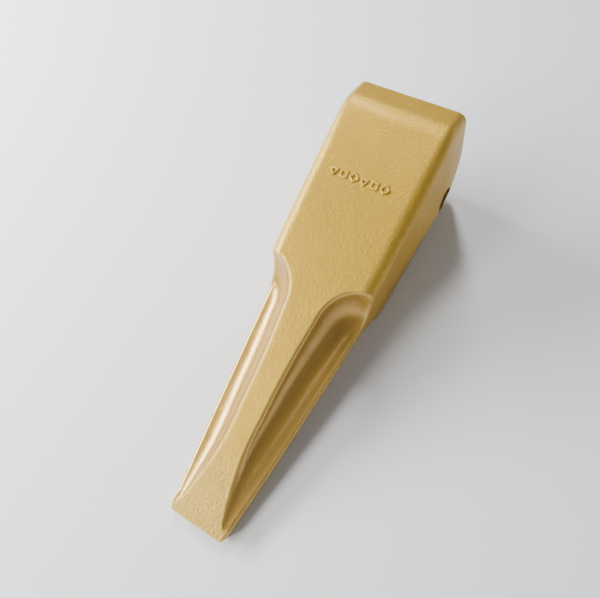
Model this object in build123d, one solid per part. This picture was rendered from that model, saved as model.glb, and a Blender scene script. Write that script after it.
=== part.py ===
from build123d import *
from math import atan2, cos, degrees, pi, radians, sin
import os

# Long side-pinned digging tooth: a cast wedge with a box socket at the rear, four
# scooped flutes that leave a central ridge and two side lips, and a chisel tip.
# It is drawn about its own centre plane (+X to the tip, +Y along the pin, +Z up,
# rear rim at x = 0) and then laid down on its lower face. Millimetres throughout.

# ---- driving dimensions: wedge ----
LENGTH = 376.0            # rear rim to chisel edge
ROOT_HALF_HEIGHT = 70.5   # the two flat faces, carried back to the rear rim
TIP_HALF_HEIGHT = 6.0     # half thickness of the chisel edge
EDGE_RADIUS = 8.5         # long edges of the box
SHARP_EDGE_END = 232.0    # the long-edge rounding is inside the flutes by here

# plan outline: (x, half width at the parting line, lean of the side, corner radius).
# The lean is how far the side comes in for each millimetre up or down: the sides
# swell at the pin hole and run flat where the box meets the flutes.
PLAN = [
    (0.0, 57.0, 0.137, 0.0),
    (55.0, 57.0, 0.150, 60.0),
    (160.0, 47.0, 0.015, 120.0),
    (352.0, 27.9, 0.070, 200.0),
    (LENGTH, 25.0, 0.070, 3.0),
]

# ---- rear bevel, all round the box ----
BEVEL_LENGTH = 28.0
BEVEL_DROP = 13.4
RIM_HALF_WIDTH = 50.6
RIM_LEAN = 0.05
RIM_CORNER_RADIUS = 12.0
BEVEL_BLEND_RADIUS = 10.0

# ---- flutes ----
FLUTE_NOSE_END = 199.0     # the spoon-shaped rear end is full size here
FLUTE_NOSE_LENGTH = 34.0
FLUTE_STATIONS = (226.0, 275.0, 315.0, 345.0, 370.0)
LIP_LAND = 2.0             # flat top of each lip
# half thickness of the lips: (x, half thickness); the flute floor runs out at the tip
LIP = [(0.0, 4.7), (315.0, 4.7), (370.0, 6.9)]
# half width of the central ridge: (x, half width)
RIDGE = [(199.0, 15.2), (226.0, 12.9), (275.0, 11.3), (315.0, 11.7), (345.0, 16.4), (370.0, 22.4)]

# ---- socket ----
SOCKET_DEPTH = 150.0
MOUTH_HALF_WIDTH = 34.0
MOUTH_HALF_HEIGHT = 38.0
TAPER_END = 122.0          # the tapered part ends in a short parallel nose pocket
END_HALF_WIDTH = 27.0
END_HALF_HEIGHT = 15.0
SOCKET_RADIUS = 6.0

# ---- pin, spring ring and rubber-bedded washer ----
PIN_X = 49.0
HOLE_DIAMETER = 23.0
PIN_DIAMETER = 22.2
PIN_LENGTH = 102.0
PIN_CHAMFER = 2.0
GROOVE_WIDTH = 4.6
GROOVE_DIAMETER = 18.4
RING_WIRE = 4.0            # square section of the spring ring
RING_SPLIT = 5.0
WASHER_DIAMETER = 46.0
WASHER_BORE = 22.8
WASHER_WIDTH = 11.0
WASHER_WALL_GAP = 0.6

# ---- cast-in mark: six plain shapes in a row, no letters or figures ----
MARK_X = 87.5
MARK_CENTRE_Y = -3.5
MARK_PITCH = 8.8
MARK_HEIGHT = 0.9
MARK_SINK = 1.0
MARK_SIZE = 8.0           # across the corners
MARK_LINE = 1.4

WEDGE_ANGLE = degrees(atan2(ROOT_HALF_HEIGHT - TIP_HALF_HEIGHT, LENGTH))


def face_height(x):
    """Height of the upper flat face above the centre plane."""
    return ROOT_HALF_HEIGHT - (ROOT_HALF_HEIGHT - TIP_HALF_HEIGHT) * x / LENGTH


def along(table, x):
    """Straight-line value of a list of (x, value, ...) rows."""
    for left, right in zip(table, table[1:]):
        if x <= right[0]:
            share = (x - left[0]) / (right[0] - left[0])
            return left[1] + share * (right[1] - left[1])
    return table[-1][1]


def cross_plane(x):
    """Section plane across the tooth: local X is +Y, local Y is +Z."""
    return Plane(origin=(x, 0, 0), x_dir=(0, 1, 0), z_dir=(1, 0, 0))


def round_corners(face, corners):
    """Fillet a flat face at the listed (x, y, radius) corners."""
    for x, y, radius in corners:
        if radius:
            face = fillet(face.vertices().sort_by_distance(Vector(x, y, 0))[0], radius)
    return face


# ---- casting ----
def plan_face(level):
    """Plan outline at a height above the parting line."""
    right = [(x, width - lean * level, radius) for x, width, lean, radius in PLAN]
    left = [(x, -width, radius) for x, width, radius in reversed(right)]
    corners = right + left
    outline = Polygon(*[(x, y) for x, y, _ in corners], align=None)
    return round_corners(outline, corners)


def leaning_blank():
    """Plan outline leaning in both ways, cut to the wedge of the two flat faces."""
    reach = ROOT_HALF_HEIGHT + 7.0
    upper = loft([plan_face(0.0), Pos(0, 0, reach) * plan_face(reach)], ruled=True)
    side = Polygon(
        (0, -ROOT_HALF_HEIGHT),
        (0, ROOT_HALF_HEIGHT),
        (LENGTH, TIP_HALF_HEIGHT),
        (LENGTH, -TIP_HALF_HEIGHT),
        align=None,
    )
    wedge = extrude(Plane.XZ * side, amount=80, both=True)
    return (upper + mirror(upper, about=Plane.XY)) & wedge


def bevel_section(share):
    """Section of the rear pyramid: 0 at the rim, 1 where the bevel meets the box."""
    half_height = face_height(BEVEL_LENGTH) - BEVEL_DROP * (1 - share)
    half_width = RIM_HALF_WIDTH + (PLAN[0][1] - RIM_HALF_WIDTH) * share
    lean = RIM_LEAN + (PLAN[0][2] - RIM_LEAN) * share
    top_half_width = half_width - half_height * lean
    corners = []
    for up in (1, -1):
        for side in (1, -1):
            corners.append((side * top_half_width, up * half_height, RIM_CORNER_RADIUS))
    outline = Polygon(
        (half_width, 0),
        corners[0][:2],
        corners[1][:2],
        (-half_width, 0),
        corners[3][:2],
        corners[2][:2],
        align=None,
    )
    return cross_plane(BEVEL_LENGTH * share) * round_corners(outline, corners)


def bevel_envelope():
    """Pyramid that trims the rear end, and open space in front of it."""
    reach = 1.8
    pyramid = loft([bevel_section(0), bevel_section(reach)], ruled=True)
    ahead = Box(LENGTH, 200, 200, align=(Align.MIN, Align.CENTER, Align.CENTER))
    beyond = Pos(BEVEL_LENGTH * reach, 0, 0) * ahead
    return pyramid + beyond


def is_long_edge(edge):
    middle = edge @ 0.5
    return abs(middle.Z) > 20 and abs(middle.Y) > 25 and abs((edge % 0.5).X) > 0.9


def is_bevel_edge(edge):
    middle = edge @ 0.5
    return 12 < middle.X < 40 and abs((edge % 0.5).X) < 0.6


def solid_body():
    blank = leaning_blank()
    half = Box(SHARP_EDGE_END, 200, 200, align=(Align.MIN, Align.CENTER, Align.CENTER))
    box_end = blank & half
    blade_end = blank - half
    box_end = fillet(box_end.edges().filter_by(is_long_edge), EDGE_RADIUS)
    box_end = box_end & bevel_envelope()
    box_end = fillet(box_end.edges().filter_by(is_bevel_edge), BEVEL_BLEND_RADIUS)
    return box_end + blade_end


def flute_section(x, fill):
    """Quarter ellipse from the ridge edge down to the lip, open above and outside."""
    floor_y = along(PLAN, x) - LIP_LAND
    width = (floor_y - along(RIDGE, max(x, FLUTE_NOSE_END))) * fill
    top = face_height(x)
    depth = (top - along(LIP, x)) * fill
    above = top + 20.0
    beyond = 75.0
    curve = EllipticalCenterArc((floor_y, top), width, depth, start_angle=180, arc_size=90)
    rest = Polyline(
        (floor_y, top - depth),
        (beyond, top - depth),
        (beyond, above),
        (floor_y - width, above),
        (floor_y - width, top),
    )
    return cross_plane(x) * make_face([curve] + list(rest.edges()))


def flute_nose():
    """Spoon-shaped rear end of the upper right flute."""
    sections = []
    for angle in (8, 20, 35, 50, 65, 78, 90):
        x = FLUTE_NOSE_END - FLUTE_NOSE_LENGTH * cos(radians(angle))
        sections.append(flute_section(x, sin(radians(angle))))
    return loft(sections)


def flute_groove():
    """Long elliptical groove in front of the nose."""
    return loft([flute_section(x, 1.0) for x in (FLUTE_NOSE_END, *FLUTE_STATIONS)])


def socket_section(x, half_width, half_height):
    outline = Rectangle(2 * half_width, 2 * half_height)
    return cross_plane(x) * fillet(outline.vertices(), SOCKET_RADIUS)


def socket_cutter():
    taper = loft(
        [
            socket_section(0, MOUTH_HALF_WIDTH, MOUTH_HALF_HEIGHT),
            socket_section(TAPER_END, END_HALF_WIDTH, END_HALF_HEIGHT),
        ],
        ruled=True,
    )
    end = socket_section(TAPER_END, END_HALF_WIDTH, END_HALF_HEIGHT)
    pocket = extrude(end, amount=SOCKET_DEPTH - TAPER_END)
    return taper + pocket


def pin_hole():
    return Pos(PIN_X, 0, 0) * Rot(90, 0, 0) * Cylinder(HOLE_DIAMETER / 2, 160)


def mark_outline(index):
    """Outline of one of three plain shapes: triangle, square, diamond."""
    sides, turn = ((3, 0), (4, 45), (4, 0))[index % 3]
    outer = RegularPolygon(MARK_SIZE / 2, sides)
    inner = RegularPolygon(MARK_SIZE / 2 - MARK_LINE / cos(pi / sides), sides)
    return Rot(0, 0, turn) * (outer - inner)


def cast_marks():
    marks = []
    for index in range(6):
        y = MARK_CENTRE_Y + (index - 2.5) * MARK_PITCH
        seat = Pos(MARK_X, y, face_height(MARK_X)) * Rot(0, WEDGE_ANGLE, 0)
        raised = extrude(mark_outline(index), amount=MARK_SINK + MARK_HEIGHT)
        marks.append(seat * Pos(0, 0, -MARK_SINK) * raised)
    return marks


def tooth_casting():
    body = solid_body()
    for cutter in (flute_nose(), flute_groove()):
        across = mirror(cutter, about=Plane.XZ)
        for flute in (cutter, across, mirror(cutter, about=Plane.XY), mirror(across, about=Plane.XY)):
            body = body - flute
    body = body - socket_cutter() - pin_hole()
    for mark in cast_marks():
        body = body + mark
    return body


# ---- pin and retainer ----
def socket_half_width(x):
    return MOUTH_HALF_WIDTH + (END_HALF_WIDTH - MOUTH_HALF_WIDTH) * x / TAPER_END


# the washer stands just inside the right-hand wall, square to the pin
WASHER_Y = socket_half_width(PIN_X + WASHER_DIAMETER / 2) - WASHER_WALL_GAP - WASHER_WIDTH / 2


def on_pin(shape, y):
    """Turn a shape drawn along +Z to lie along +Y on the pin axis."""
    return Pos(PIN_X, y, 0) * Rot(-90, 0, 0) * shape


def retaining_pin():
    pin = Cylinder(PIN_DIAMETER / 2, PIN_LENGTH)
    ends = pin.edges().filter_by(GeomType.CIRCLE)
    pin = chamfer(ends, PIN_CHAMFER)
    groove = Cylinder(PIN_DIAMETER, GROOVE_WIDTH) - Cylinder(GROOVE_DIAMETER / 2, GROOVE_WIDTH)
    pin = pin - Pos(0, 0, WASHER_Y) * groove
    return on_pin(pin, 0)


def spring_ring():
    inner = GROOVE_DIAMETER / 2 + 0.1
    outer = inner + RING_WIRE
    ring = Cylinder(outer, RING_WIRE) - Cylinder(inner, RING_WIRE)
    ring = ring - Pos(outer, 0, 0) * Box(2 * outer, RING_SPLIT, 2 * RING_WIRE)
    return on_pin(ring, WASHER_Y)


def retainer_washer():
    """Rubber ring with the spring ring's chamber inside."""
    washer = Cylinder(WASHER_DIAMETER / 2, WASHER_WIDTH)
    washer = chamfer(washer.edges().filter_by(GeomType.CIRCLE), 1.2)
    washer = washer - Cylinder(WASHER_BORE / 2, 2 * WASHER_WIDTH)
    chamber = Cylinder(GROOVE_DIAMETER / 2 + RING_WIRE + 1.2, RING_WIRE + 0.4)
    return on_pin(washer - chamber, WASHER_Y)


# ---- lay the tooth down on its lower face and write one file per piece ----
def main():
    os.makedirs("parts", exist_ok=True)
    pieces = {
        "tooth_casting": tooth_casting(),
        "retaining_pin": retaining_pin(),
        "retainer_spring_ring": spring_ring(),
        "retainer_washer": retainer_washer(),
    }
    laid = {name: Rot(0, WEDGE_ANGLE, 0) * shape for name, shape in pieces.items()}
    box = laid["tooth_casting"].bounding_box()
    place = Pos(-(box.min.X + box.max.X) / 2, 0, -box.min.Z)
    print("rear rim centre moves by", place.position)
    for name, shape in laid.items():
        export_step(place * shape, os.path.join("parts", name + ".step"))


main()
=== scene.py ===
import math

import bmesh
import bpy
import numpy as np
from mathutils import Matrix, Vector, noise


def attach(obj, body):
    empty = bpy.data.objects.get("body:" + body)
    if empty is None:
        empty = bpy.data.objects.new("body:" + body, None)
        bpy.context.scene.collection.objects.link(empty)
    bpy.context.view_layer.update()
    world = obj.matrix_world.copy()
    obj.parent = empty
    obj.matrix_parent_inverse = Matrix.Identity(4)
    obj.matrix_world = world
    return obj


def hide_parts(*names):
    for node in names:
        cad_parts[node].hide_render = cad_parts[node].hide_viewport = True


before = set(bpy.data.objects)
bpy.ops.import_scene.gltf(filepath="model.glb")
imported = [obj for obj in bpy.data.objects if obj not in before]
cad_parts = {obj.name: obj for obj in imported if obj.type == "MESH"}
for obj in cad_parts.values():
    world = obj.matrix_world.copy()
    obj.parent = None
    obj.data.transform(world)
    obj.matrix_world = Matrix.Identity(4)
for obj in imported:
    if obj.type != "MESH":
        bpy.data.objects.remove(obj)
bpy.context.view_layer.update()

MM = 0.001

# The tooth is described about its own centre planes, in millimetres: x from the rear
# rim to the chisel edge, y along the pin, z across the two flat faces. LAY turns that
# into the frame's metres, with the lower flat face on the floor.
LENGTH = 376.0
ROOT_HALF_HEIGHT = 70.5
TIP_HALF_HEIGHT = 6.0

# half width at the parting line, and how far the side leans in for each millimetre up
PLAN_X = (0.0, 30.0, 48.0, 62.0, 90.0, 120.0, 150.0, 165.0, 204.0, 352.0, 370.0, LENGTH)
PLAN_W = (56.9, 56.9, 56.9, 56.1, 53.6, 50.3, 47.2, 46.0, 42.6, 27.9, 25.7, 25.0)
LEAN_X = (0.0, 30.0, 60.0, 120.0, 150.0, 204.0, LENGTH)
LEAN = (0.125, 0.125, 0.144, 0.066, 0.012, 0.045, 0.07)

BEVEL_LENGTH = 28.0
BEVEL_DROP = 13.4
RIM_HALF_WIDTH = 50.6
RIM_LEAN = 0.035
RIM_WALL_ROUND = 1.6
BEVEL_JOIN_ROUND = 5.0
REAR_SIDE_JOIN_ROUND = 7.0

# radius of the long edges between the flat faces and the sides
EDGE_X = (0.0, 28.0, 160.0, 235.0, LENGTH)
EDGE_ROUND = (8.5, 10.0, 10.5, 2.4, 1.8)

FLUTE_NOSE_END = 199.0
FLUTE_NOSE_LENGTH = 34.0
LIP_LAND = 2.0
LIP_X = (0.0, 315.0, 370.0)
LIP_HALF_THICKNESS = (4.7, 4.7, 6.9)
RIDGE_X = (199.0, 226.0, 275.0, 315.0, 345.0, 370.0)
RIDGE_HALF_WIDTH = (15.2, 12.9, 11.3, 11.7, 16.4, 22.4)
FLUTE_EDGE_ROUND = 3.2
FLUTE_RUN_OUT = 363.0
FLUTE_RUN_OUT_SLOPE = 0.5
TIP_CORNER_ROUND = 4.0
CHISEL_EDGE_ROUND = 1.6

SOCKET_DEPTH = 150.0
SOCKET_X = (0.0, 122.0, SOCKET_DEPTH)
SOCKET_HALF_WIDTH = (34.0, 27.0, 27.0)
SOCKET_HALF_HEIGHT = (38.0, 15.0, 15.0)
SOCKET_ROUND = 6.0

PIN_X = 49.0
PIN_RADIUS = 11.1
PIN_HALF_LENGTH = 51.0
HOLE_RADIUS = 11.5
HOLE_FLARE = 1.4
GROOVE_RADIUS = 9.2
GROOVE_HALF_WIDTH = 2.3
RING_WIRE = 4.0
RING_SPLIT = 5.0
WASHER_RADIUS = 23.0
WASHER_BORE_RADIUS = 11.4
WASHER_HALF_WIDTH = 5.5
WASHER_WALL_GAP = 0.6

MARK_X = 87.5
MARK_CENTRE_Y = -3.5
MARK_PITCH = 8.8
MARK_COUNT = 6
MARK_SIZE = 3.5
MARK_STROKE = 1.0
MARK_ROUND = 0.5
MARK_SINK = 0.1

# depth of the casting's unevenness: slow swells, quick ripples, extra ripples in the flutes
SWELL, SWELL_LENGTH = 0.16, 34.0
RIPPLE, RIPPLE_LENGTH = 0.035, 9.0
FLUTE_RIPPLE = 0.035

# curvature, in 1/mm, at which an edge or a hollow counts in full
EDGE_BEND = 0.12
HOLLOW_BEND = 0.05

WEDGE_ANGLE = math.atan2(ROOT_HALF_HEIGHT - TIP_HALF_HEIGHT, LENGTH)


def face_height(x):
    return ROOT_HALF_HEIGHT - (ROOT_HALF_HEIGHT - TIP_HALF_HEIGHT) * x / LENGTH


RIM_HALF_HEIGHT = face_height(BEVEL_LENGTH) - BEVEL_DROP
REACH_FRONT = LENGTH * math.cos(WEDGE_ANGLE) + TIP_HALF_HEIGHT * math.sin(WEDGE_ANGLE)
REACH_BACK = RIM_HALF_HEIGHT * math.sin(WEDGE_ANGLE)
SLIDE_BACK = (REACH_FRONT - REACH_BACK) / 2
LIFT = ROOT_HALF_HEIGHT * math.cos(WEDGE_ANGLE)
LAY = (
    Matrix.Scale(MM, 4)
    @ Matrix.Translation((-SLIDE_BACK, 0, LIFT))
    @ Matrix.Rotation(WEDGE_ANGLE, 4, "Y")
)


def smooth_table(x, xs, values):
    """Curve through a table, with slopes taken from its neighbours (Catmull-Rom)."""
    xs = np.asarray(xs, float)
    values = np.asarray(values, float)
    slopes = np.gradient(values, xs)
    x = np.clip(x, xs[0], xs[-1])
    i = np.clip(np.searchsorted(xs, x, side="right") - 1, 0, len(xs) - 2)
    span = xs[i + 1] - xs[i]
    t = (x - xs[i]) / span
    rise = values[i] * (1 + 2 * t) * (1 - t) ** 2 + values[i + 1] * t * t * (3 - 2 * t)
    return rise + span * (slopes[i] * t * (1 - t) ** 2 + slopes[i + 1] * t * t * (t - 1))


def round_join(a, b, radius):
    """Intersection of two signed distances with a rounded edge."""
    corner = np.hypot(np.maximum(a + radius, 0), np.maximum(b + radius, 0))
    return np.minimum(np.maximum(a, b), -radius) + corner


def outer_distance(x, y, z):
    """Signed distance, roughly, to the outside of the casting (negative inside)."""
    x = np.minimum(x, LENGTH)
    half_width = smooth_table(x, PLAN_X, PLAN_W)
    top = (z - face_height(x)) * math.cos(WEDGE_ANGLE)
    side = y - half_width + z * smooth_table(x, LEAN_X, LEAN)
    bevel_slope = BEVEL_DROP / BEVEL_LENGTH
    bevel_top = (z - RIM_HALF_HEIGHT - x * bevel_slope) / math.hypot(1, bevel_slope)
    share = x / BEVEL_LENGTH
    rear_half_width = RIM_HALF_WIDTH + (PLAN_W[0] - RIM_HALF_WIDTH) * share
    rear_side = y - rear_half_width + z * (RIM_LEAN + (LEAN[0] - RIM_LEAN) * share)
    top = round_join(top, bevel_top, BEVEL_JOIN_ROUND)
    side = round_join(side, rear_side, REAR_SIDE_JOIN_ROUND)
    side = round_join(side, x - LENGTH, TIP_CORNER_ROUND)
    body = round_join(top, side, np.interp(x, EDGE_X, EDGE_ROUND))
    body = round_join(body, flute_distance(x, y, z), FLUTE_EDGE_ROUND)
    body = round_join(body, x - LENGTH, CHISEL_EDGE_ROUND)
    return round_join(body, -x, RIM_WALL_ROUND)


def flute_distance(x, y, z):
    """Positive inside the flute: an elliptical groove with a spoon-shaped rear end."""
    floor_y = smooth_table(x, PLAN_X, PLAN_W) - LIP_LAND
    width = floor_y - smooth_table(x, RIDGE_X, RIDGE_HALF_WIDTH)
    top = face_height(x)
    depth = np.maximum(top - np.interp(x, LIP_X, LIP_HALF_THICKNESS), 0.05)
    across = np.minimum(y - floor_y, 0) / width
    down = np.minimum(z - top, 0) / depth
    back = np.minimum(x - FLUTE_NOSE_END, 0) / FLUTE_NOSE_LENGTH
    size = np.sqrt(across**2 + down**2 + back**2) + 1e-6
    slope = np.sqrt((across / width) ** 2 + (down / depth) ** 2 + (back / FLUTE_NOSE_LENGTH) ** 2)
    run_out = FLUTE_RUN_OUT_SLOPE * np.maximum(x - FLUTE_RUN_OUT, 0)
    return (1 - size) * size / np.maximum(slope, 1e-6) - run_out


def socket_distance(x, y, z):
    """Signed distance to the socket's wall (negative in the open socket)."""
    half_width = np.interp(x, SOCKET_X, SOCKET_HALF_WIDTH)
    half_height = np.interp(x, SOCKET_X, SOCKET_HALF_HEIGHT)
    walls = round_join(y - half_width, z - half_height, SOCKET_ROUND)
    return round_join(walls, x - SOCKET_DEPTH, SOCKET_ROUND)


def quarter_ring(distance, x, count):
    """Points of one quadrant of the section at x, closer together where it bends."""
    angles = np.linspace(0, math.pi / 2, 900)
    dy, dz = np.cos(angles), np.sin(angles)
    low, high = np.zeros_like(angles), np.full_like(angles, 90.0)
    for _ in range(26):
        middle = (low + high) / 2
        outside = distance(x, middle * dy, middle * dz) > 0
        high = np.where(outside, middle, high)
        low = np.where(outside, low, middle)
    y, z = low * dy, low * dz
    step = np.hypot(np.diff(y), np.diff(z))
    heading = np.unwrap(np.arctan2(np.diff(z), np.diff(y)))
    turn = np.abs(np.diff(heading, prepend=heading[0]))
    effort = step + 5.0 * np.minimum(turn, 0.5)
    run = np.concatenate(([0], np.cumsum(effort + 1e-9)))
    at = np.linspace(0, run[-1], count + 1)
    return np.interp(at, run, y), np.interp(at, run, z)


def ring(distance, x, count):
    """Whole section at x, mirrored from one quadrant; 4 * count points."""
    y, z = quarter_ring(distance, x, count)
    ys = np.concatenate((y[:-1], -y[:0:-1], -y[:-1], y[:0:-1]))
    zs = np.concatenate((z[:-1], z[:0:-1], -z[:-1], -z[:0:-1]))
    return np.column_stack((np.full(len(ys), x), ys, zs))


def stations():
    """Places of the sections along the tooth, closer where the outline turns."""
    near_rim = RIM_WALL_ROUND * (1 - np.cos(np.linspace(0.15, math.pi / 2, 5)))
    bevel = np.linspace(2.2, 48, 38)
    box_end = np.linspace(49.5, 160, 56)
    nose = np.linspace(161, 204, 54)
    blade = np.linspace(205.2, 352, 80)
    tip = np.linspace(353.2, LENGTH - 1.8, 26)
    edge = LENGTH - CHISEL_EDGE_ROUND * (1 - np.sin(np.linspace(0.1, math.pi / 2 - 0.02, 6)))
    return np.concatenate((near_rim, bevel, box_end, nose, blade, tip, edge))


def casting_rings(count=64):
    deep = np.linspace(SOCKET_DEPTH - 0.15, SOCKET_DEPTH - SOCKET_ROUND, 8)
    inner_x = np.concatenate((deep, np.linspace(142.0, 0.0, 34)))
    rings = [ring(socket_distance, x, count) for x in inner_x]
    mouth = rings[-1]
    rim = ring(outer_distance, float(stations()[0]), count)
    for share in (0.04, 0.1, 0.2, 0.5, 0.8, 0.9, 0.96):
        rings.append(mouth * (1 - share) + rim * share)
    rings += [ring(outer_distance, float(x), count) for x in stations()]
    end = rings[-1]
    for share in (0.66, 0.33):
        rings.append(end * (share, share, share) + np.array((end[0, 0] * (1 - share), 0, 0)))
    return rings


def mesh_of(points, faces, name):
    mesh = bpy.data.meshes.new(name)
    mesh.from_pydata([tuple(p) for p in points], [], faces)
    return mesh


def bridge(first, second, count):
    """Quads between two rings of points whose numbers start at first and second."""
    faces = []
    for j in range(count):
        after = (j + 1) % count
        faces.append((first + j, first + after, second + after, second + j))
    return faces


def skin(rings, name):
    """Closed mesh through a run of rings, with a pole at each end."""
    count = len(rings[0])
    points = [rings[0].mean(axis=0)] + [p for r in rings for p in r] + [rings[-1].mean(axis=0)]
    last = 1 + (len(rings) - 1) * count
    faces = [(0, 1 + (j + 1) % count, 1 + j) for j in range(count)]
    for i in range(len(rings) - 1):
        faces += bridge(1 + i * count, 1 + (i + 1) * count, count)
    faces += [(len(points) - 1, last + j, last + (j + 1) % count) for j in range(count)]
    return mesh_of(points, faces, name)


def loop_skin(rings, name):
    """Mesh through rings whose last one joins the first."""
    count = len(rings[0])
    points = [p for r in rings for p in r]
    faces = []
    for i in range(len(rings)):
        faces += bridge(i * count, (i + 1) % len(rings) * count, count)
    return mesh_of(points, faces, name)


def face_outwards(mesh):
    work = bmesh.new()
    work.from_mesh(mesh)
    bmesh.ops.recalc_face_normals(work, faces=work.faces)
    work.to_mesh(mesh)
    work.free()


def finish_mesh(mesh, sharp_degrees=42):
    """Into the frame's metres, normals outwards, smooth except at real corners."""
    mesh.transform(LAY)
    face_outwards(mesh)
    mesh.shade_smooth()
    mesh.set_sharp_from_angle(angle=math.radians(sharp_degrees))


def add_piece(mesh, body, name, *materials):
    piece = bpy.data.objects.new(name, mesh)
    bpy.context.scene.collection.objects.link(piece)
    mesh.materials.clear()
    for material in materials:
        mesh.materials.append(material)
    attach(piece, body)
    return piece


# ---- turned pieces on the pin's axis ----
def rounded(corners, radius, steps=4, closed=False):
    """A run of (radius, y) corners with each inner corner rounded off."""
    corners = [Vector(c) for c in corners]
    result = []
    for i, corner in enumerate(corners):
        if not closed and i in (0, len(corners) - 1):
            result.append(corner)
            continue
        before = corners[i - 1] - corner
        after = corners[(i + 1) % len(corners)] - corner
        reach = min(radius, 0.45 * before.length, 0.45 * after.length)
        start, end = corner + before.normalized() * reach, corner + after.normalized() * reach
        for k in range(steps + 1):
            t = k / steps
            result.append(start * (1 - t) ** 2 + corner * (2 * t * (1 - t)) + end * t**2)
    return result


def hoop(radius, y, steps):
    """Ring of points about the pin's axis."""
    turn = np.linspace(0, 2 * math.pi, steps, endpoint=False)
    return np.column_stack((PIN_X + radius * np.cos(turn), np.full(steps, y), radius * np.sin(turn)))


def washer_middle():
    """The washer stands just inside the socket's right-hand wall."""
    wall = np.interp(PIN_X + WASHER_RADIUS, SOCKET_X, SOCKET_HALF_WIDTH)
    return float(wall) - WASHER_WALL_GAP - WASHER_HALF_WIDTH


def make_pin(material):
    middle = washer_middle()
    half = PIN_HALF_LENGTH
    groove = [
        (PIN_RADIUS, middle - GROOVE_HALF_WIDTH),
        (GROOVE_RADIUS, middle - GROOVE_HALF_WIDTH),
        (GROOVE_RADIUS, middle + GROOVE_HALF_WIDTH),
        (PIN_RADIUS, middle + GROOVE_HALF_WIDTH),
    ]
    dimple = [(0.3, 1.6), (2.0, 0.0), (PIN_RADIUS - 2.0, 0.0), (PIN_RADIUS, 2.0)]
    near = [(r, -half + y) for r, y in dimple]
    far = [(r, half - y) for r, y in reversed(dimple)]
    plain = [(PIN_RADIUS, y) for y in np.linspace(-40, 12, 14)]
    profile = rounded(near + plain + groove + far, 0.5)
    mesh = skin([hoop(r, y, 96) for r, y in profile], "retaining_pin_turned")
    finish_mesh(mesh)
    piece = add_piece(mesh, "pin", "retaining_pin_turned", material)
    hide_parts("retaining_pin")


def make_spring_ring(material):
    """Square spring wire bent round the pin's groove, with rounded corners and a split."""
    inner = GROOVE_RADIUS + 0.1
    outer = inner + RING_WIRE
    half = RING_WIRE / 2
    section = rounded([(inner, -half), (outer, -half), (outer, half), (inner, half)], 0.8, closed=True)
    mean_radius = (inner + outer) / 2
    gap = math.asin(RING_SPLIT / 2 / mean_radius)
    turns = np.linspace(gap, 2 * math.pi - gap, 91)
    end = np.radians(0.9)
    turns = np.concatenate(([turns[0]], turns[0:1] + end, turns[1:-1], turns[-1:] - end, [turns[-1]]))
    rings = []
    for i, turn in enumerate(turns):
        shrink = 0.86 if i in (0, len(turns) - 1) else 1.0
        loop = []
        for r, y in section:
            r = mean_radius + (r - mean_radius) * shrink
            loop.append((PIN_X + r * math.cos(turn), washer_middle() + y * shrink, r * math.sin(turn)))
        rings.append(np.array(loop))
    mesh = skin(rings, "spring_ring_split")
    finish_mesh(mesh)
    piece = add_piece(mesh, "retainer", "spring_ring_split", material)
    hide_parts("retainer_spring_ring")


def make_washer(material):
    """Moulded ring with rounded rims, a shallow moulding groove and the ring's chamber."""
    half = WASHER_HALF_WIDTH
    bore = WASHER_BORE_RADIUS
    rim = WASHER_RADIUS
    chamber = GROOVE_RADIUS + RING_WIRE + 1.2
    chamber_half = RING_WIRE / 2 + 0.2
    face = [(bore + 2.2, 0.0), (bore + 3.4, 0.5), (rim - 4.4, 0.5)]
    face += [(rim - 3.2, 0.0), (rim - 1.2, 0.0), (rim, 1.2)]
    corners = [(r, -half + y) for r, y in face]
    corners += [(rim, -0.5), (rim - 0.4, -0.2), (rim - 0.4, 0.2), (rim, 0.5)]
    corners += [(r, half - y) for r, y in reversed(face)]
    corners += [(bore + 0.9, half), (bore, half - 0.9)]
    corners += [(bore, chamber_half), (chamber, chamber_half)]
    corners += [(chamber, -chamber_half), (bore, -chamber_half)]
    corners += [(bore, -half + 0.9), (bore + 0.9, -half)]
    profile = rounded(corners, 0.5, steps=3, closed=True)
    mesh = loop_skin([hoop(r, washer_middle() + y, 96) for r, y in profile], "retainer_washer_moulded")
    finish_mesh(mesh, 50)
    piece = add_piece(mesh, "retainer", "retainer_washer_moulded", material)
    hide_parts("retainer_washer")


# ---- the casting ----
def hole_cutter():
    """Bar through both side walls, flared where it comes out of them."""
    lip = float(np.interp(PIN_X, PLAN_X, PLAN_W))
    flare = [(HOLE_RADIUS + HOLE_FLARE + 8.0, lip + 8.0), (HOLE_RADIUS, lip - HOLE_FLARE)]
    profile = [(r, -y) for r, y in flare] + [(HOLE_RADIUS, 0.0)] + [(r, y) for r, y in reversed(flare)]
    mesh = skin([hoop(r, y, 72) for r, y in profile], "hole_cutter")
    face_outwards(mesh)
    cutter = bpy.data.objects.new("hole_cutter", mesh)
    bpy.context.scene.collection.objects.link(cutter)
    return cutter


def evaluated_mesh(piece, name):
    """Plain mesh of an object with its modifiers; the object is then removed."""
    graph = bpy.context.evaluated_depsgraph_get()
    mesh = bpy.data.meshes.new_from_object(piece.evaluated_get(graph))
    mesh.name = name
    bpy.data.objects.remove(piece)
    return mesh


def drill(mesh, name):
    blank = bpy.data.objects.new("casting_blank", mesh)
    bpy.context.scene.collection.objects.link(blank)
    cutter = hole_cutter()
    cut = blank.modifiers.new("pin_hole", "BOOLEAN")
    cut.operation = "DIFFERENCE"
    cut.solver = "EXACT"
    cut.object = cutter
    drilled = evaluated_mesh(blank, name)
    bpy.data.objects.remove(cutter)
    return drilled


def vertex_array(mesh, what="co"):
    values = np.empty(len(mesh.vertices) * 3, np.float64)
    mesh.vertices.foreach_get(what, values)
    return values.reshape(-1, 3)


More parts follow.
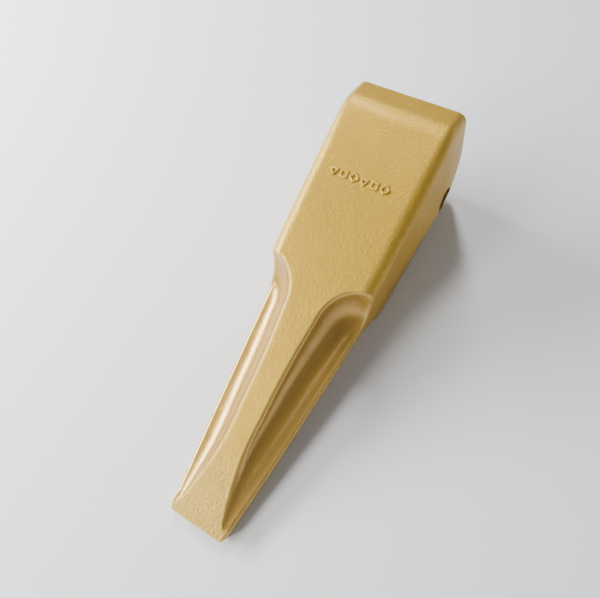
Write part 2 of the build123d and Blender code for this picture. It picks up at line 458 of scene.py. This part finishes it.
def is_inside_socket(points):
    """1 on the socket's walls and in the pin holes, 0 on the outside skin."""
    x, y, z = points[:, 0], np.abs(points[:, 1]), np.abs(points[:, 2])
    wall = socket_distance(np.maximum(x, 0.0), y, z) < 0.6
    bore = np.hypot(x - PIN_X, z) < HOLE_RADIUS + 0.3
    bore &= y < np.interp(PIN_X, PLAN_X, PLAN_W) - HOLE_FLARE
    return (wall & (x > 0.05) | bore).astype(float)


def flute_share(points):
    """1 in the flutes, falling to 0 across their rounded edges."""
    x, y, z = points[:, 0], np.abs(points[:, 1]), np.abs(points[:, 2])
    return np.clip(1.3 + flute_distance(x, y, z) / 1.6, 0, 1)


def add_waves(mesh):
    """Low, slow unevenness of a sand casting, always inwards from the true skin."""
    points = vertex_array(mesh)
    normals = vertex_array(mesh, "normal")
    inside = is_inside_socket(points)
    flute = flute_share(points)
    for i, point in enumerate(points):
        slow = noise.noise(Vector(point) / SWELL_LENGTH)
        quick = noise.noise(Vector(point) / RIPPLE_LENGTH + Vector((7.0, 3.0, 1.0)))
        depth = SWELL * (slow + 1.0) + (RIPPLE + FLUTE_RIPPLE * flute[i]) * (quick + 1.0)
        points[i] -= normals[i] * depth * (1 - inside[i])
    mesh.vertices.foreach_set("co", points.ravel())
    mesh.update()


def add_measure(mesh, name, values):
    layer = mesh.attributes.new(name, "FLOAT", "POINT")
    layer.data.foreach_set("value", np.asarray(values, np.float32))


def convexity(mesh):
    """Mean curvature at each vertex, in 1/mm: positive on edges, negative in hollows."""
    points, normals = vertex_array(mesh), vertex_array(mesh, "normal")
    ends = np.empty(len(mesh.edges) * 2, np.int64)
    mesh.edges.foreach_get("vertices", ends)
    a, b = ends.reshape(-1, 2).T
    along = points[b] - points[a]
    length = np.maximum((along**2).sum(axis=1), 0.02)
    bend = ((normals[b] - normals[a]) * along).sum(axis=1) / length
    total = np.bincount(a, bend, len(points)) + np.bincount(b, bend, len(points))
    number = np.bincount(a, minlength=len(points)) + np.bincount(b, minlength=len(points))
    curvature = total / np.maximum(number, 1)
    for _ in range(3):
        spread = np.bincount(a, curvature[b], len(points)) + np.bincount(b, curvature[a], len(points))
        curvature = 0.5 * curvature + 0.5 * spread / np.maximum(number, 1)
    return curvature


def make_casting(material):
    mesh = skin(casting_rings(), "casting_blank")
    face_outwards(mesh)
    mesh = drill(mesh, "tooth_casting_skin")
    add_waves(mesh)
    points = vertex_array(mesh)
    add_measure(mesh, "inside", is_inside_socket(points))
    bend = convexity(mesh)
    add_measure(mesh, "edge", np.clip(bend / EDGE_BEND, 0, 1))
    add_measure(mesh, "hollow", np.clip(-bend / HOLLOW_BEND, 0, 1))
    add_measure(mesh, "along", np.clip(points[:, 0] / LENGTH, 0, 1))
    add_measure(mesh, "flute", flute_share(points))
    finish_mesh(mesh)
    piece = add_piece(mesh, "tooth", "tooth_casting_skin", material)
    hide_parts("tooth_casting")


# ---- cast-in marks ----
class NodeTree:
    """Adds nodes to a tree: a node's type, its settings, then its sockets."""

    def __init__(self, tree):
        self.tree = tree

    def node(self, kind, settings=None, **sockets):
        node = self.tree.nodes.new(kind)
        for name, value in (settings or {}).items():
            setattr(node, name, value)
        for name, value in sockets.items():
            socket = node.inputs[name.replace("_", " ")]
            if isinstance(value, bpy.types.NodeSocket):
                self.tree.links.new(value, socket)
            else:
                socket.default_value = value
        return node


def mark_row_tree(material):
    """Row of raised outlines in three plain shapes by turns: triangle, square, diamond."""
    tree = bpy.data.node_groups.new("mark_row", "GeometryNodeTree")
    sizes = {"Count": MARK_COUNT, "Pitch": MARK_PITCH, "Size": MARK_SIZE}
    sizes |= {"Stroke": MARK_STROKE, "Round": MARK_ROUND}
    for name in sizes:
        kind = "NodeSocketInt" if name == "Count" else "NodeSocketFloat"
        tree.interface.new_socket(name, in_out="INPUT", socket_type=kind)
    tree.interface.new_socket("Geometry", in_out="OUTPUT", socket_type="NodeSocketGeometry")
    make = NodeTree(tree)
    given = make.node("NodeGroupInput").outputs
    stroke = make.node("GeometryNodeCurvePrimitiveCircle", Resolution=10, Radius=given["Stroke"])
    shapes = make.node("GeometryNodeJoinGeometry")
    for sides, turn in ((4, 0.0), (4, math.pi / 4), (3, 0.0)):
        outline = make.node("GeometryNodeCurvePrimitiveCircle", Resolution=sides, Radius=given["Size"])
        turned = make.node(
            "GeometryNodeTransform", Geometry=outline.outputs[0], Rotation=(0.0, 0.0, turn)
        )
        rounded_line = make.node(
            "GeometryNodeFilletCurve",
            {"mode": "POLY"},
            Curve=turned.outputs[0],
            Count=4,
            Radius=given["Round"],
        )
        tube = make.node(
            "GeometryNodeCurveToMesh",
            Curve=rounded_line.outputs[0],
            Profile_Curve=stroke.outputs[0],
        )
        shape = make.node("GeometryNodeGeometryToInstance")
        tree.links.new(tube.outputs[0], shape.inputs[0])
        tree.links.new(shape.outputs[0], shapes.inputs[0])
    step = make.node("ShaderNodeCombineXYZ", Y=given["Pitch"])
    line = make.node("GeometryNodeMeshLine", Count=given["Count"], Offset=step.outputs[0])
    place = make.node("GeometryNodeInstanceOnPoints", Points=line.outputs[0], Instance=shapes.outputs[0])
    place.inputs["Pick Instance"].default_value = True
    index = make.node("GeometryNodeInputIndex")
    turn = make.node("ShaderNodeMath", {"operation": "MODULO"})
    turn.inputs[1].default_value = 3
    tree.links.new(index.outputs[0], turn.inputs[0])
    tree.links.new(turn.outputs[0], place.inputs["Instance Index"])
    real = make.node("GeometryNodeRealizeInstances", Geometry=place.outputs[0])
    smooth = make.node("GeometryNodeSetShadeSmooth", Geometry=real.outputs[0])
    finish = make.node("GeometryNodeSetMaterial", Geometry=smooth.outputs[0], Material=material)
    result = make.node("NodeGroupOutput")
    tree.links.new(finish.outputs[0], result.inputs[0])
    return tree, sizes


def make_marks(material):
    tree, sizes = mark_row_tree(material)
    row = bpy.data.objects.new("mark_row", bpy.data.meshes.new("mark_row"))
    bpy.context.scene.collection.objects.link(row)
    modifier = row.modifiers.new("mark_row", "NODES")
    modifier.node_group = tree
    for item in tree.interface.items_tree:
        if item.in_out == "INPUT":
            modifier[item.identifier] = sizes[item.name]
    mesh = evaluated_mesh(row, "cast_mark_row")
    start = MARK_CENTRE_Y - (MARK_COUNT - 1) / 2 * MARK_PITCH
    seat = Matrix.Translation((MARK_X, start, face_height(MARK_X) - MARK_SINK))
    mesh.transform(seat @ Matrix.Rotation(WEDGE_ANGLE, 4, "Y"))
    # the marks get a fixed 0.35 edge share, which lightens them with the painted edge highlight
    for name in ("inside", "edge", "hollow", "flute"):
        add_measure(mesh, name, np.full(len(mesh.vertices), 0.35 if name == "edge" else 0.0))
    add_measure(mesh, "along", np.full(len(mesh.vertices), MARK_X / LENGTH))
    finish_mesh(mesh)
    piece = add_piece(mesh, "tooth", "cast_mark_row", material)


# ---- materials ----
class Value:
    """A number or colour socket; an expression on values adds its Math nodes."""

    def __init__(self, shader, socket):
        self.shader = shader
        self.socket = socket

    def math(self, operation, *terms):
        return self.shader.node("ShaderNodeMath", {"operation": operation}, dict(enumerate(terms)))

    def __add__(self, other):
        return self.math("ADD", self, other)

    def __mul__(self, other):
        return self.math("MULTIPLY", self, other)

    def __sub__(self, other):
        return self.math("SUBTRACT", self, other)

    def __rsub__(self, other):
        return self.math("SUBTRACT", other, self)

    __radd__ = __add__
    __rmul__ = __mul__


class Finish:
    """One material: its nodes, made by one method, and the sockets of its shader."""

    def __init__(self, name, **constants):
        self.material = bpy.data.materials.new(name)
        self.material.use_nodes = True
        self.tree = self.material.node_tree
        self.surface = self.tree.nodes["Principled BSDF"]
        for socket, value in constants.items():
            self.surface.inputs[socket.replace("_", " ")].default_value = value

    def node(self, kind, settings=None, sockets=None, output=0):
        node = self.tree.nodes.new(kind)
        for name, value in (settings or {}).items():
            if name == "stops":
                self.set_stops(node.color_ramp, value)
            else:
                setattr(node, name, value)
        for name, value in (sockets or {}).items():
            if isinstance(value, Value):
                self.tree.links.new(value.socket, node.inputs[name])
            else:
                node.inputs[name].default_value = value
        return Value(self, node.outputs[output])

    @staticmethod
    def set_stops(ramp, stops):
        while len(ramp.elements) < len(stops):
            ramp.elements.new(1.0)
        for element, (position, level) in zip(ramp.elements, stops):
            element.position = position
            element.color = (level, level, level, 1)

    def place(self):
        return self.node("ShaderNodeTexCoord", output="Object")

    def stretched(self, scale):
        return self.node("ShaderNodeMapping", None, {"Vector": self.place(), "Scale": scale})

    def noise(self, scale, detail=3.0, roughness=0.55, vector=None):
        sockets = {"Vector": vector or self.place(), "Scale": scale}
        sockets |= {"Detail": detail, "Roughness": roughness}
        return self.node("ShaderNodeTexNoise", None, sockets)

    def ramp(self, value, *stops):
        return self.node("ShaderNodeValToRGB", {"stops": stops}, {0: value})

    def measure(self, name):
        return self.node("ShaderNodeAttribute", {"attribute_name": name}, output="Fac")

    def mix(self, share, first, second):
        sockets = {"Factor": share, "A": first, "B": second}
        node = self.tree.nodes.new("ShaderNodeMix")
        node.data_type = "RGBA"
        node.clamp_factor = True
        names = {"Factor": 0, "A": 6, "B": 7}
        for name, value in sockets.items():
            socket = node.inputs[names[name]]
            if isinstance(value, Value):
                self.tree.links.new(value.socket, socket)
            else:
                socket.default_value = value if isinstance(value, (int, float)) else (*value, 1)
        return Value(self, node.outputs[2])

    def drive(self, socket, value):
        self.tree.links.new(value.socket, self.surface.inputs[socket])

    def bump(self, height, depth):
        """Relief from a 0 to 1 height; depth is in metres."""
        sockets = {"Height": height, "Strength": 1.0, "Distance": depth}
        self.drive("Normal", self.node("ShaderNodeBump", None, sockets))


PAINT = (0.645, 0.380, 0.033)
# deeper gold for random mottling, also used for the painted shade in hollows
PAINT_DEEP = (0.36, 0.185, 0.012)
PAINT_OLIVE = (0.45, 0.31, 0.032)
# pale sandy colour of the grainy tip, also used for the painted highlight on edges
PAINT_SANDY_AND_HIGHLIGHT = (0.80, 0.55, 0.17)
# painted shade colour for the flutes
PAINT_FLUTE_SHADE = (0.46, 0.27, 0.10)
BARE_STEEL = (0.16, 0.105, 0.06)


def gold_paint():
    """Satin golden paint over sand-cast steel: grainier and paler towards the tip."""
    tint = (0.86, 0.70, 0.42, 1)
    paint = Finish("gold_paint", Metallic=0.42, Specular_Tint=tint, Coat_Roughness=0.14)
    along = paint.measure("along")
    inside = paint.measure("inside")
    edge = paint.measure("edge")
    hollow = paint.measure("hollow")
    mottle = paint.ramp(paint.noise(42.0, 4.0), (0.32, 0.0), (0.68, 1.0))
    cloud = paint.ramp(paint.noise(13.0, 2.0), (0.35, 0.0), (0.65, 1.0))
    speck = paint.ramp(paint.noise(850.0, 2.0, 0.6), (0.36, 0.0), (0.66, 1.0))
    grain = paint.noise(430.0, 4.0, 0.7)
    fine = paint.noise(1500.0, 2.0, 0.5)
    flute = paint.measure("flute")
    sandy = paint.ramp(along, (0.34, 0.06), (0.50, 0.08), (0.82, 0.14), (0.94, 1.0)) * (1 - 0.75 * flute)

    colour = paint.mix(cloud * 0.30, PAINT, PAINT_OLIVE)
    colour = paint.mix(mottle * 0.22, colour, PAINT_DEEP)
    # painted shade: concave hollows are darkened toward PAINT_DEEP
    colour = paint.mix(hollow * 0.55, colour, PAINT_DEEP)
    colour = paint.mix(sandy * (0.20 + 0.45 * speck), colour, PAINT_SANDY_AND_HIGHLIGHT)
    colour = paint.mix(0.16 * (1 - speck), colour, PAINT_DEEP)
    # painted shade: the flutes are darkened toward a deeper brown
    colour = paint.mix(flute * 0.45, colour, PAINT_FLUTE_SHADE)
    # painted highlight: convex edges are lightened toward the pale sandy colour
    colour = paint.mix(edge * 0.28, colour, PAINT_SANDY_AND_HIGHLIGHT)
    rust = paint.ramp(paint.noise(85.0, 5.0, 0.7), (0.40, 0.0), (0.62, 1.0))
    colour = paint.mix(inside * (0.55 + 0.45 * rust), colour, BARE_STEEL)
    paint.drive("Base Color", colour)

    rough = 0.31 + 0.08 * mottle + 0.14 * (grain * sandy) - 0.06 * edge + 0.25 * inside
    paint.drive("Roughness", rough - 0.11 * flute)
    paint.drive("Coat Weight", 0.04 + 0.34 * flute)
    relief = (grain * (0.55 + 0.75 * sandy) + 0.22 * fine) * (1 - 0.7 * flute) + 0.5 * (inside * rust)
    paint.bump(relief, 0.0008)
    return paint.material


def pin_steel():
    """Turned steel: fine rings round the shank, oil-dark in the low spots."""
    steel = Finish("pin_steel", Metallic=1.0)
    rings = steel.noise(1.0, 2.0, 0.5, steel.stretched((6.0, 2600.0, 6.0)))
    stain = steel.ramp(steel.noise(95.0, 5.0, 0.6), (0.40, 0.0), (0.66, 1.0))
    colour = steel.mix(stain * 0.7, (0.46, 0.44, 0.42), (0.22, 0.19, 0.17))
    steel.drive("Base Color", colour)
    steel.drive("Roughness", 0.26 + 0.16 * rings + 0.16 * stain)
    steel.bump(rings + 0.3 * stain, 0.00006)
    return steel.material


def spring_steel():
    """Blued spring wire, rubbed brighter in patches."""
    steel = Finish("spring_steel", Metallic=1.0)
    patch = steel.ramp(steel.noise(160.0, 4.0, 0.6), (0.42, 0.0), (0.62, 1.0))
    drawn = steel.noise(900.0, 3.0, 0.6)
    colour = steel.mix(patch, (0.07, 0.085, 0.13), (0.28, 0.27, 0.27))
    steel.drive("Base Color", colour)
    steel.drive("Roughness", 0.30 + 0.18 * drawn)
    steel.bump(drawn, 0.00005)
    return steel.material


def black_rubber():
    """Moulded rubber with a dusty bloom and a fine leathery grain."""
    rubber = Finish("black_rubber", Metallic=0.0)
    bloom = rubber.ramp(rubber.noise(110.0, 5.0, 0.65), (0.38, 0.0), (0.70, 1.0))
    grain = rubber.noise(1300.0, 3.0, 0.6)
    colour = rubber.mix(bloom * 0.6, (0.018, 0.018, 0.019), (0.070, 0.066, 0.060))
    rubber.drive("Base Color", colour)
    rubber.drive("Roughness", 0.52 + 0.24 * bloom + 0.10 * grain)
    rubber.bump(grain + 0.4 * bloom, 0.00012)
    return rubber.material


# ---- camera, floor and light ----
def make_camera():
    data = bpy.data.cameras.new("camera")
    camera = bpy.data.objects.new("camera", data)
    bpy.context.scene.collection.objects.link(camera)
    camera.location = (0.11498, 0.09832, 0.39186)
    camera.rotation_euler = [math.radians(a) for a in (25.468, 3.855, 119.467)]
    data.lens = 27.16
    data.shift_x = -0.0364
    data.shift_y = -0.0218
    bpy.context.scene.camera = camera


def make_floor():
    half = 6.0
    corners = [(-half, -half, 0), (half, -half, 0), (half, half, 0), (-half, half, 0)]
    mesh = mesh_of(corners, [(0, 1, 2, 3)], "floor")
    floor = bpy.data.objects.new("floor", mesh)
    bpy.context.scene.collection.objects.link(floor)
    cloth = Finish("floor", Roughness=0.9)
    cloth.surface.inputs["Base Color"].default_value = (0.92, 0.92, 0.925, 1)
    mesh.materials.append(cloth.material)


def soft_light(name, place, target, size, watts, colour=(1, 1, 1)):
    data = bpy.data.lights.new(name, "AREA")
    data.shape = "RECTANGLE"
    data.size, data.size_y = size
    data.energy = watts
    data.color = colour
    light = bpy.data.objects.new(name, data)
    bpy.context.scene.collection.objects.link(light)
    light.location = place
    aim = Vector(target) - Vector(place)
    light.rotation_euler = aim.to_track_quat("-Z", "Y").to_euler()


def make_light():
    world = bpy.data.worlds.new("studio")
    bpy.context.scene.world = world
    world.use_nodes = True
    world.node_tree.nodes["Background"].inputs["Color"].default_value = (0.92, 0.95, 1.0, 1)
    world.node_tree.nodes["Background"].inputs["Strength"].default_value = 0.17
    soft_light("left", (0.20, -1.05, 0.58), (0, 0, 0.05), (1.1, 0.22), 38, (0.90, 0.95, 1.0))
    soft_light("tip_side", (1.22, -0.66, 0.85), (0.05, 0, 0.05), (0.4, 0.5), 16.5, (1.0, 0.98, 0.95))
    soft_light("rear", (-0.75, -0.42, 1.05), (-0.1, 0, 0.1), (0.16, 0.5), 11)
    soft_light("side_streak", (-0.25, 0.95, 0.34), (0.05, 0, 0.03), (1.2, 0.02), 0.22)
    soft_light("top_streak", (0.05, 0.44, 1.0), (0.05, 0, 0.05), (1.0, 0.02), 0.7)


make_camera()
make_floor()
make_light()
gold = gold_paint()
make_casting(gold)
make_marks(gold)
make_pin(pin_steel())
make_spring_ring(spring_steel())
make_washer(black_rubber())
